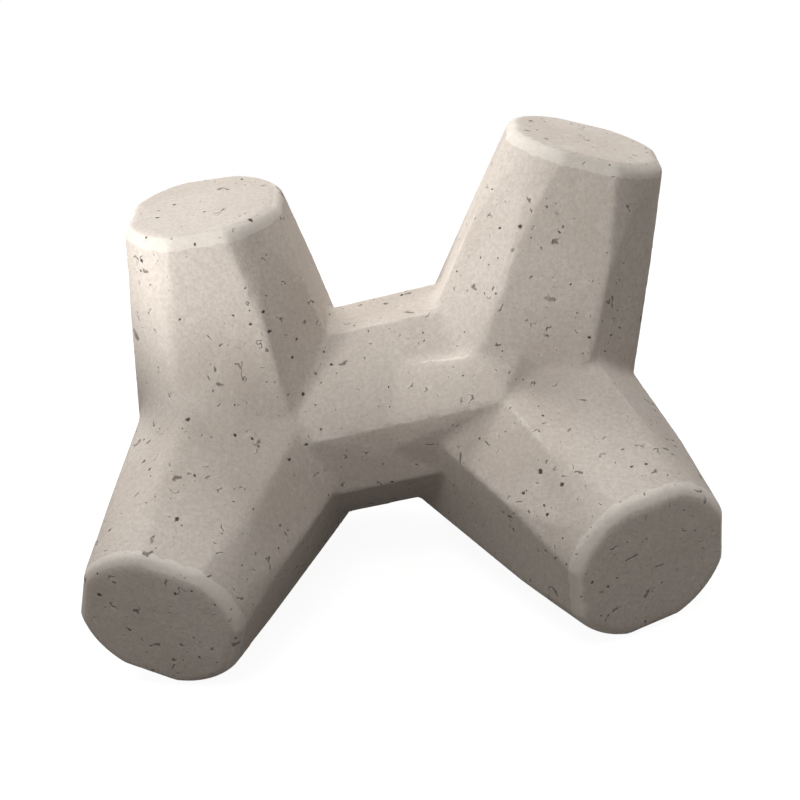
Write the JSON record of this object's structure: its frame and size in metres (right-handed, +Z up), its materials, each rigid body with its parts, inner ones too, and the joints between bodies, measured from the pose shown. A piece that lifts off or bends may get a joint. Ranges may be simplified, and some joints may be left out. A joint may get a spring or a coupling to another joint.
{
  "type": "dolos armour unit",
  "caption": "Cast concrete breakwater armour block: tapered octagonal legs with rounded rims spread from the ends of a chamfered shank.",
  "frame": {"origin": "middle of the bounding box, on the floor that the block lies on", "axes": "+X along the shank from the left hub to the right hub, +Z up, -Y towards the side that the legs lean to"},
  "size_m": [1.7368, 1.2802, 1.2778],
  "materials": {
    "concrete": "struck from the mould, matt, with small air holes"
  },
  "bodies": {
    "root": {"dolos": "concrete"}
  },
  "joints": []
}
